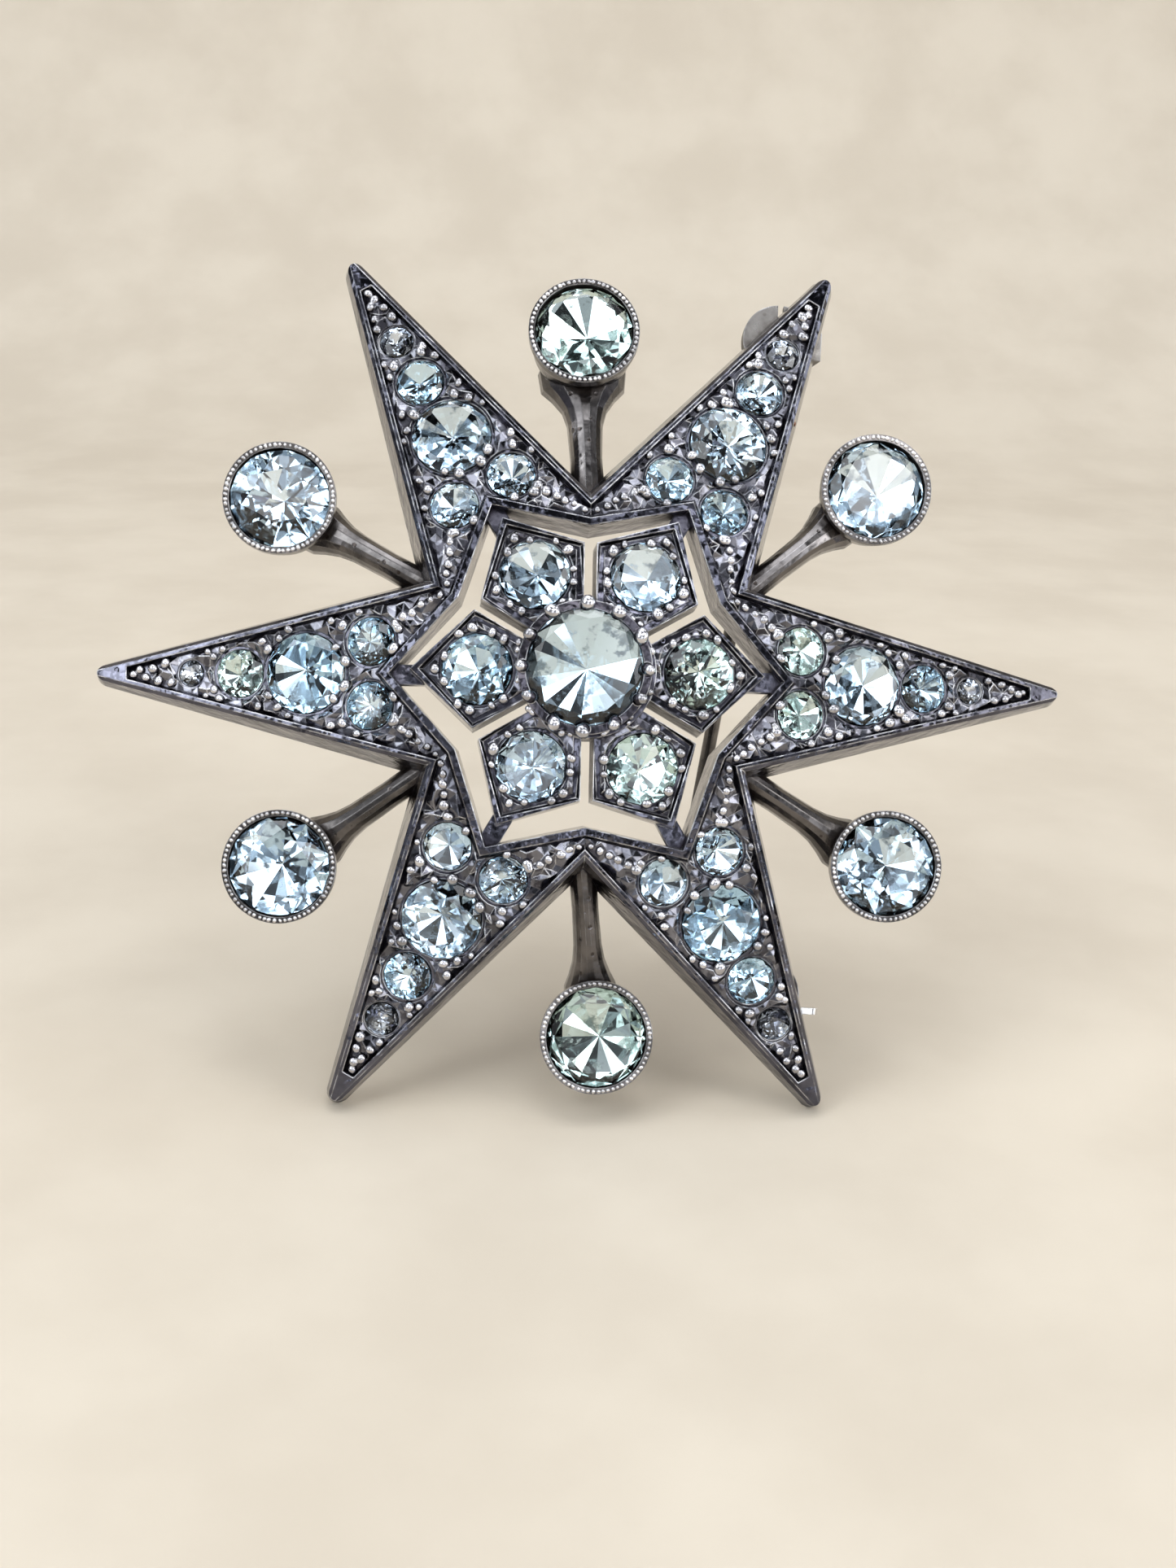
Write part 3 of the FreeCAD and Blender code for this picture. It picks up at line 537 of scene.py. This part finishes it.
def set_all_stones():
    ray_depth = FIELD_DEPTH + SEAT_SINK
    petal_depth = PETAL_FIELD_DEPTH + SEAT_SINK
    for name, angle in RAYS.items():
        main = [(MAIN_STONE, any_cut(), on_ray(angle, MAIN_PLACE, 0, ray_depth))]
        pair = []
        for side in (1, -1):
            pair.append((PAIR_STONE, any_cut(), on_ray(angle, PAIR_PLACE, side * PAIR_OFFSET, ray_depth)))
        small = [(SMALL_STONE, any_cut(), on_ray(angle, SMALL_PLACE, 0, ray_depth))]
        tip = [(tip_stone(name), TIP_CUT, on_ray(angle, TIP_PLACE, 0, ray_depth))]
        petal = [(PETAL_STONE, any_cut(), on_petal(angle, PETAL_PLACE, 0, petal_depth))]
        add_stones("ray_main_stone_" + name, any_kind(), main)
        add_stones("ray_pair_stone_" + name, any_kind(), pair)
        add_stones("ray_small_stone_" + name, any_kind(), small)
        add_stones("ray_tip_stone_" + name, "smoky", tip)
        add_stones("petal_stone_" + name, any_kind(), petal)
    for name in COLLETS:
        collet = [(COLLET_STONE, any_cut(), on_collet(name, -COLLET_GIRDLE))]
        add_stones("collet_stone_" + name, any_kind(), collet)
    centre = STAR @ moved(CENTRE_ASIDE, CENTRE_RAISE, CENTRE_GIRDLE)
    add_stones("centre_stone", "blue", [(CENTRE_STONE, CENTRE_CUT, centre)])


set_all_stones()


# ---- Bright-cut fields ----

SHEET_INSET = 0.44         # from the ray's outline; the sheets run a little into the borders
PETAL_SHEET_INSET = 0.40
SHEET_PAST_END = 0.05      # past the end of a ray's field
SHEET_UNDER_COLLAR = 0.2
SEAT_MARGIN = 0.17
TIP_MARGIN_SHARE = 0.6     # a tip stone's margin beside the others'
CUT_SPACING = 0.38
CUT_STRAY = 0.32           # as a share of the spacing
CUT_CLEAR = 0.3            # clear of edges and holes, as a share of the spacing
CUT_LOW, CUT_HIGH = 0.02, 0.34
RIM_HIGH = 0.08
SHEET_BACK = -0.06
EDGE_OVERRUN = 0.1         # how far an edge counts past its ends, as a share of it
NO_WIDTH = 1e-6
SAME_POINT = 1e-5


def crossing(first, second):
    """Point where two lines meet, each given as its unit normal (x, y) and its distance from the origin."""
    (ax, ay), a = first
    (bx, by), b = second
    area = ax * by - ay * bx
    return Vector(((a * by - b * ay) / area, (ax * b - bx * a) / area))


def line_through(start, end, inset, inside):
    """Line through two points moved by inset towards a point inside."""
    along = (Vector(end) - Vector(start)).normalized()
    normal = Vector((along.y, -along.x))
    if normal.dot(Vector(inside) - Vector(start)) > 0:
        normal = -normal
    return tuple(normal), normal.dot(Vector(start)) - inset


def mirrored(half):
    """Closed outline from its upper half, given from the ray's outer end inwards."""
    lower = [Vector((point.x, -point.y)) for point in reversed(half) if point.y > NO_WIDTH]
    return half + lower


def ray_outline():
    """Outline of a ray's cut field, in the ray's axes."""
    inside = (MAIN_PLACE, 0)
    outer = line_through(polar(VALLEY_RADIUS, SECTOR), (RAY_APEX, 0), SHEET_INSET, inside)
    inner = line_through((OPENING_POINT, 0), polar(OPENING_VALLEY, SECTOR), SHEET_INSET, inside)
    sector = (polar(1, SECTOR + 90), 0.0)
    end = ((1.0, 0.0), FIELD_END + SHEET_PAST_END)
    axis = ((0.0, 1.0), 0.0)
    lines = (end, outer, sector, inner, axis)
    return mirrored([crossing(first, second) for first, second in zip(lines, lines[1:])])


def petal_outline():
    """Outline of a petal's cut field, in its axes."""
    inside = (PETAL_PLACE, 0)
    along, aside = Vector(polar(1, SECTOR)), Vector(polar(1, SECTOR - 90))
    shoulder = along * PETAL_SHOULDER + aside * (PETAL_GAP / 2)
    outer = line_through((PETAL_TIP, 0), shoulder, PETAL_SHEET_INSET, inside)
    flank = line_through(shoulder, shoulder - along, PETAL_SHEET_INSET, inside)
    hub = ((1.0, 0.0), HUB_RADIUS - SHEET_UNDER_COLLAR)
    axis = ((0.0, 1.0), 0.0)
    lines = (axis, outer, flank, hub)
    return mirrored([crossing(first, second) for first, second in zip(lines, lines[1:])])


def divided(outline, spacing):
    """Points along a closed outline, evenly spaced on each side."""
    points = []
    for index, start in enumerate(outline):
        end = outline[(index + 1) % len(outline)]
        count = max(1, round((end - start).length / spacing))
        points += [start.lerp(end, step / count) for step in range(count)]
    return points


def is_inside(point, outline):
    """Even-odd rule."""
    inside = False
    for index, start in enumerate(outline):
        end = outline[(index + 1) % len(outline)]
        if (start.y > point.y) != (end.y > point.y):
            cross = start.x + (point.y - start.y) / (end.y - start.y) * (end.x - start.x)
            inside ^= point.x < cross
    return inside


def off_edges(point, outline, gap):
    """Whether a point is at least gap from every edge it stands beside."""
    for index, start in enumerate(outline):
        end = outline[(index + 1) % len(outline)]
        foot, share = intersect_point_line(point, start, end)
        if -EDGE_OVERRUN < share < 1 + EDGE_OVERRUN and (foot.xy - point).length < gap:
            return False
    return True


def off_holes(point, holes, gap=0.0):
    """Whether a point is more than gap outside every hole, each (x, y, radius)."""
    return all((point - Vector((x, y))).length > radius + gap for x, y, radius in holes)


def scattered(outline, holes, spacing):
    """Uneven grid of points inside an outline and clear of its holes."""
    points = []
    gap = CUT_CLEAR * spacing
    low_x, high_x = min(p.x for p in outline), max(p.x for p in outline)
    low_y, high_y = min(p.y for p in outline), max(p.y for p in outline)
    for i in range(int((high_x - low_x) / spacing) + 1):
        for j in range(int((high_y - low_y) / spacing) + 1):
            stray = Vector((LOOSE.uniform(-CUT_STRAY, CUT_STRAY), LOOSE.uniform(-CUT_STRAY, CUT_STRAY)))
            point = Vector((low_x, low_y)) + (Vector((i, j)) + stray) * spacing
            inside = is_inside(point, outline) and off_edges(point, outline, gap)
            if inside and off_holes(point, holes, gap):
                points.append(point)
    return points


def add_cut_sheet(name, outline, holes, place):
    """Closed sheet of small facets of uneven height over a sunken field, open round its stones."""
    points, edges = [], []
    loops = [divided(outline, CUT_SPACING)]
    for x, y, radius in holes:
        count = round(2 * math.pi * radius / CUT_SPACING)
        loops.append([Vector((x, y)) + Vector(polar(radius, 360 * k / count)) for k in range(count)])
    for loop in loops:
        first = len(points)
        points += loop
        edges += [(first + k, first + (k + 1) % len(loop)) for k in range(len(loop))]
    rim = len(points)
    points += scattered(outline, holes, CUT_SPACING)
    plan, _, faces, sources, _, _ = delaunay_2d_cdt(points, edges, [], 0, SAME_POINT)
    heights = []
    for source in sources:
        inner = bool(source) and min(source) >= rim
        heights.append(LOOSE.uniform(CUT_LOW, CUT_HIGH if inner else RIM_HIGH))
    bm = bmesh.new()
    tops = [bm.verts.new(place(point.x, point.y, height)) for point, height in zip(plan, heights)]
    backs = [bm.verts.new(place(point.x, point.y, SHEET_BACK)) for point in plan]
    for face in faces:
        middle = sum((plan[k] for k in face), Vector((0, 0))) / len(face)
        if is_inside(middle, outline) and off_holes(middle, holes):
            bm.faces.new([tops[k] for k in face])
            bm.faces.new([backs[k] for k in reversed(face)])
    twin = dict(zip(tops, backs))
    for edge in [edge for edge in bm.edges if edge.is_boundary and edge.verts[0] in twin]:
        start, end = edge.verts
        bm.faces.new((start, end, twin[end], twin[start]))
    bmesh.ops.delete(bm, geom=[vert for vert in bm.verts if not vert.link_faces], context="VERTS")
    piece = make_object(name, finished_mesh(name, bm), [BRIGHT_CUT])
    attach(piece, "brooch")


def add_cut_fields():
    ray_plan, petal_plan = ray_outline(), petal_outline()
    margin = SEAT_MARGIN
    for name, angle in RAYS.items():
        holes = [(MAIN_PLACE, 0, MAIN_STONE / 2 + margin), (SMALL_PLACE, 0, SMALL_STONE / 2 + margin)]
        holes += [(PAIR_PLACE, side * PAIR_OFFSET, PAIR_STONE / 2 + margin) for side in (1, -1)]
        holes.append((TIP_PLACE, 0, tip_stone(name) / 2 + margin * TIP_MARGIN_SHARE))

        def ray_spot(x, y, height):
            return on_ray(angle, x, y, FIELD_DEPTH - height).translation

        def petal_spot(x, y, height):
            return on_petal(angle, x, y, PETAL_FIELD_DEPTH - height).translation

        add_cut_sheet("cut_field_" + name, ray_plan, holes, ray_spot)
        petal_holes = [(PETAL_PLACE, 0, PETAL_STONE / 2 + margin)]
        add_cut_sheet("cut_petal_" + name, petal_plan, petal_holes, petal_spot)


add_cut_fields()


# ---- Grain beads ----

def half_field(x):
    """Half of the sunken field's width at x."""
    valley_x, valley_y = polar(VALLEY_RADIUS, SECTOR)
    slope = valley_y / (RAY_APEX - valley_x)
    return (RAY_APEX - x) * slope - SHEET_INSET


# Beads on each side of a ray or petal: radius, place along it and off its axis
RAY_BEADS = [
    (0.31, 12.10, 0.60), (0.29, 12.15, 2.42), (0.24, 12.75, 2.62), (0.26, 12.55, 1.25),
    (0.30, 15.95, 1.15), (0.26, 15.45, 1.75), (0.24, 16.35, 1.62), (0.22, 14.9, 2.18),
    (0.27, 18.75, 0.82), (0.22, 18.35, 1.25), (0.20, 19.05, 1.12), (0.26, 9.62, 1.15),
    (0.24, 9.45, 2.2), (0.22, 11.35, 3.05),
]
PETAL_BEADS = [
    (0.27, 7.1, 0.62), (0.30, 5.75, 2.02), (0.24, 6.4, 1.72), (0.28, 4.15, 1.45), (0.22, 4.75, 1.78),
]
PETAL_POINT_BEAD = (0.27, 7.55)
# Chain of beads from a pair stone to the valley, each smaller than the last
CHAIN_BEADS = 6
CHAIN_START, CHAIN_STEP = 1.5, 0.52
CHAIN_BEAD, CHAIN_TAPER = 0.29, 0.02
# Beads that zigzag to the ray's tip, sized and spaced by the field's width
TIP_BEADS_START, TIP_BEADS_END = 20.95, FIELD_END - 0.15
TIP_BEAD, TIP_BEAD_SHARE, TIP_BEAD_STEP = 0.26, 0.75, 1.25
# How uneven the beads are, and how high their middles are above a field's floor
BEAD_STRAY, PETAL_BEAD_STRAY = 0.07, 0.06
BEAD_SIZES = (0.85, 1.12)
RAY_BEAD_RISE, PETAL_BEAD_RISE = 0.16, 0.14


def ray_bead_spots():
    """Spots of the grain beads of a ray: (radius, x, y)."""
    spots = []
    for side in (1, -1):
        spots += [(radius, x, side * y) for radius, x, y in RAY_BEADS]
        start = Vector((PAIR_PLACE, side * PAIR_OFFSET))
        valley = Vector(polar((VALLEY_RADIUS + OPENING_VALLEY) / 2, side * SECTOR))
        along = (valley - start).normalized()
        for index in range(CHAIN_BEADS):
            spot = start + along * (CHAIN_START + CHAIN_STEP * index)
            spots.append((CHAIN_BEAD - CHAIN_TAPER * index, spot.x, spot.y))
    x = TIP_BEADS_START
    side = 1
    while x < TIP_BEADS_END:
        width = half_field(x)
        radius = min(TIP_BEAD, TIP_BEAD_SHARE * width)
        spots.append((radius, x, side * max(0.0, width - radius)))
        side = -side
        x += radius * TIP_BEAD_STEP
    return spots


def add_all_beads():
    """Beads standing in the cut fields, each a little off its even place and size."""
    ray_depth = FIELD_DEPTH - RAY_BEAD_RISE
    petal_depth = PETAL_FIELD_DEPTH - PETAL_BEAD_RISE
    for name, angle in RAYS.items():
        beads = []
        for radius, x, y in ray_bead_spots():
            x += LOOSE.uniform(-BEAD_STRAY, BEAD_STRAY)
            y += LOOSE.uniform(-BEAD_STRAY, BEAD_STRAY)
            beads.append((radius * LOOSE.uniform(*BEAD_SIZES), on_ray(angle, x, y, ray_depth)))
        add_beads("ray_beads_" + name, beads, GRAIN)
        point_radius, point_place = PETAL_POINT_BEAD
        beads = [(point_radius, on_petal(angle, point_place, 0, petal_depth))]
        for side in (1, -1):
            for radius, x, y in PETAL_BEADS:
                size = radius * LOOSE.uniform(*BEAD_SIZES)
                x += LOOSE.uniform(-PETAL_BEAD_STRAY, PETAL_BEAD_STRAY)
                beads.append((size, on_petal(angle, x, side * y, petal_depth)))
        add_beads("petal_beads_" + name, beads, GRAIN)


add_all_beads()

# ---- Beads round the centre stone, and a drop of solder ----

CENTRE_BEADS = 12
CENTRE_BEAD = 0.34
CENTRE_BEAD_SIZES = (0.88, 1.12)
CENTRE_BEAD_CIRCLE = 3.14
CENTRE_BEAD_HEIGHT = 5.42
CENTRE_BEAD_STRAY = 3      # degrees
# Chips of metal after each bead: their size beside it, how far out, how far round and how much lower
CHIPS = 2
CHIP_SHARE, CHIP_SIZES = 0.5, (0.8, 1.2)
CHIP_OUT, CHIP_ROUND, CHIP_DROP = (0.05, 0.30), (8, 22), 0.28
SOLDER_PLACE = (17.0, -2.2, 0.8)
SOLDER_SIZE = 0.24
SOLDER_LUMPS = 0.16        # as a share of its size
SOLDER_WAVES = (9, 7)      # of its lumps, in radians per millimetre


def centre_spot(radius, degrees, height):
    x, y = polar(radius, degrees)
    return STAR @ moved(CENTRE_ASIDE + x, CENTRE_RAISE + y, height)


def add_centre_beads():
    """A round bead on each prong, with chips of metal in each gap, further out."""
    beads = []
    for index in range(CENTRE_BEADS):
        turn = 360 * index / CENTRE_BEADS + LOOSE.uniform(-CENTRE_BEAD_STRAY, CENTRE_BEAD_STRAY)
        spot = centre_spot(CENTRE_BEAD_CIRCLE, turn, CENTRE_BEAD_HEIGHT)
        beads.append((CENTRE_BEAD * LOOSE.uniform(*CENTRE_BEAD_SIZES), spot))
        for _ in range(CHIPS):
            circle = CENTRE_BEAD_CIRCLE + LOOSE.uniform(*CHIP_OUT)
            spot = centre_spot(circle, turn + LOOSE.uniform(*CHIP_ROUND), CENTRE_BEAD_HEIGHT - CHIP_DROP)
            beads.append((CHIP_SHARE * CENTRE_BEAD * LOOSE.uniform(*CHIP_SIZES), spot))
    add_beads("centre_beads", beads, GRAIN)


def add_solder():
    """Lumpy drop left on the edge of the upper right ray."""
    across, along = SOLDER_WAVES
    bm = bmesh.new()
    bmesh.ops.create_icosphere(bm, subdivisions=3, radius=SOLDER_SIZE * MM)
    for vert in bm.verts:
        bulge = math.sin(vert.co.x / MM * across) * math.cos(vert.co.y / MM * along + 1)
        vert.co *= 1 + SOLDER_LUMPS * bulge
    place = STAR @ turned(RAYS["upper_right"]) @ moved(*SOLDER_PLACE)
    bmesh.ops.transform(bm, matrix=place, verts=bm.verts)
    piece = make_object("solder_drop", finished_mesh("solder_drop", bm), [SOLDER], smooth=True)
    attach(piece, "brooch")


add_centre_beads()
add_solder()

# ---- Milgrain of the collets ----

MILGRAIN_BEADS = 66
MILGRAIN_RADIUS = 2.70
MILGRAIN_SIZE = 0.115
MILGRAIN_SIZES = (0.85, 1.1)
MILGRAIN_STRAY = 0.12      # as a share of their spacing


def add_milgrain(name):
    """Ring of fine beads along a collet's rim."""
    beads = []
    for index in range(MILGRAIN_BEADS):
        step = index + LOOSE.uniform(-MILGRAIN_STRAY, MILGRAIN_STRAY)
        x, y = polar(MILGRAIN_RADIUS, 360 * step / MILGRAIN_BEADS)
        beads.append((MILGRAIN_SIZE * LOOSE.uniform(*MILGRAIN_SIZES), on_collet(name) @ moved(x, y, 0)))
    add_beads("milgrain_" + name, beads, MILLED)


for collet in COLLETS:
    add_milgrain(collet)

# ---- Materials of the CAD pieces ----


def finish_cad(names, material):
    """Give CAD pieces one material."""
    for name in names:
        mesh = frame["nodes"][name].data
        mesh.materials.clear()
        mesh.materials.append(material)


finish_cad(["star_frame", "flower_plate"], SILVER)
finish_cad(["centre_setting"], COLLAR)
finish_cad(["collet_" + name for name in COLLETS] + ["stem_" + name for name in COLLETS], CUP)
finish_cad(["hinge_base"], NICKEL)
finish_cad(["catch_base", "catch_housing"], DARK_CATCH)
finish_cad(["hinge_rivet", "pin_stem"], PIN_STEEL)
finish_cad(["catch_roller"], WIRE)

# ---- Studio, in metres ----

FLOOR_FRONT = -0.40
FLOOR_BACK = 0.16
BACKDROP_RADIUS = 0.10
BACKDROP_TOP = 0.45
FLOOR_HALF_WIDTH = 0.60
BACKDROP_STEPS = 16
WORLD_TINT = (0.90, 0.94, 1.0)
WORLD_PATCHES = 3.4
# Steps of the patches: where the noise starts and ends each, and the glow before and after it
WORLD_STEPS = ((0.42, 0.47, 0.03, 0.50), (0.55, 0.60, 0.0, 2.9))
WORLD_PLAIN = 0.5
MIDDLE = (0.0, 0.0, 0.02)
# Lights: name, place, width and height, glow, colour
LIGHTS = (
    ("overhead", (0.02, 0.02, 0.32), (0.26, 0.22), 1.2, (1, 1, 1)),
    ("left_window", (-0.24, -0.20, 0.20), (0.15, 0.24), 3.8, (0.92, 0.97, 1.0)),
    ("right_card", (0.26, -0.16, 0.16), (0.12, 0.22), 3.4, (1.0, 0.99, 0.97)),
    ("front_card", (0.05, -0.30, 0.26), (0.24, 0.07), 3.6, (1, 1, 1)),
)


def paper():
    """Warm mottled paper with a faint grain of fibres."""
    n = Nodes("studio_paper")
    mottle = n.noise(18.0, 4.0, 0.55)
    tone = n.mix(n.ramp(mottle, 0.3, 0.7), rgb(0.54, 0.475, 0.385), rgb(0.60, 0.535, 0.44))
    fibres = n.noise(0.4)
    raised = n.add("Bump", None, Strength=0.15, Distance=0.05 * MM, Height=fibres).outputs["Normal"]
    shader = n.add("BsdfPrincipled", None, Base_Color=tone, Roughness=0.85, Normal=raised)
    return n.finish(shader.outputs["BSDF"])


def add_backdrop():
    """Floor that curves up into a wall behind the brooch."""
    outline = [(FLOOR_FRONT, 0.0)]
    for index in range(BACKDROP_STEPS + 1):
        angle = math.radians(90 * index / BACKDROP_STEPS)
        rise = BACKDROP_RADIUS * (1 - math.cos(angle))
        outline.append((FLOOR_BACK + BACKDROP_RADIUS * math.sin(angle), rise))
    outline.append((FLOOR_BACK + BACKDROP_RADIUS, BACKDROP_TOP))
    bm = bmesh.new()
    rows = [[bm.verts.new((side * FLOOR_HALF_WIDTH, y, z)) for y, z in outline] for side in (-1, 1)]
    for i in range(len(outline) - 1):
        bm.faces.new((rows[0][i], rows[1][i], rows[1][i + 1], rows[0][i + 1]))
    make_object("backdrop", finished_mesh("backdrop", bm), [paper()], smooth=True)


def add_light(name, place, size, glow, colour):
    """Soft box aimed at the middle, whose face glows with the given radiance."""
    data = bpy.data.lights.new(name, "AREA")
    data.shape = "RECTANGLE"
    data.size, data.size_y = size
    data.energy = glow * math.pi * size[0] * size[1]
    data.color = colour
    light = bpy.data.objects.new(name, data)
    bpy.context.scene.collection.objects.link(light)
    light.location = place
    light.rotation_euler = (Vector(MIDDLE) - Vector(place)).to_track_quat("-Z", "Y").to_euler()


def add_world():
    """Room of soft bright and dark patches for the metal and the stones to mirror, behind a plain grey."""
    world = bpy.data.worlds.new("studio")
    world.use_nodes = True
    nodes, links = world.node_tree.nodes, world.node_tree.links
    background = nodes["Background"]
    background.inputs["Color"].default_value = rgb(*WORLD_TINT)
    patches = nodes.new("ShaderNodeTexNoise")
    patches.inputs["Scale"].default_value = WORLD_PATCHES
    patches.inputs["Detail"].default_value = 1.0
    links.new(nodes.new("ShaderNodeTexCoord").outputs["Generated"], patches.inputs["Vector"])
    glow = nodes.new("ShaderNodeMath")
    for index, (low, high, dark, bright) in enumerate(WORLD_STEPS):
        step = nodes.new("ShaderNodeMapRange")
        step.interpolation_type = "SMOOTHSTEP"
        for key, value in (("From Min", low), ("From Max", high), ("To Min", dark), ("To Max", bright)):
            step.inputs[key].default_value = value
        links.new(patches.outputs["Fac"], step.inputs["Value"])
        links.new(step.outputs["Result"], glow.inputs[index])
    plain = nodes.new("ShaderNodeMix")
    links.new(nodes.new("ShaderNodeLightPath").outputs["Is Camera Ray"], plain.inputs["Factor"])
    links.new(glow.outputs[0], plain.inputs["A"])
    plain.inputs["B"].default_value = WORLD_PLAIN
    links.new(plain.outputs["Result"], background.inputs["Strength"])
    bpy.context.scene.world = world


bpy.context.scene.view_settings.view_transform = "Standard"
add_backdrop()
add_world()
for light_facts in LIGHTS:
    add_light(*light_facts)
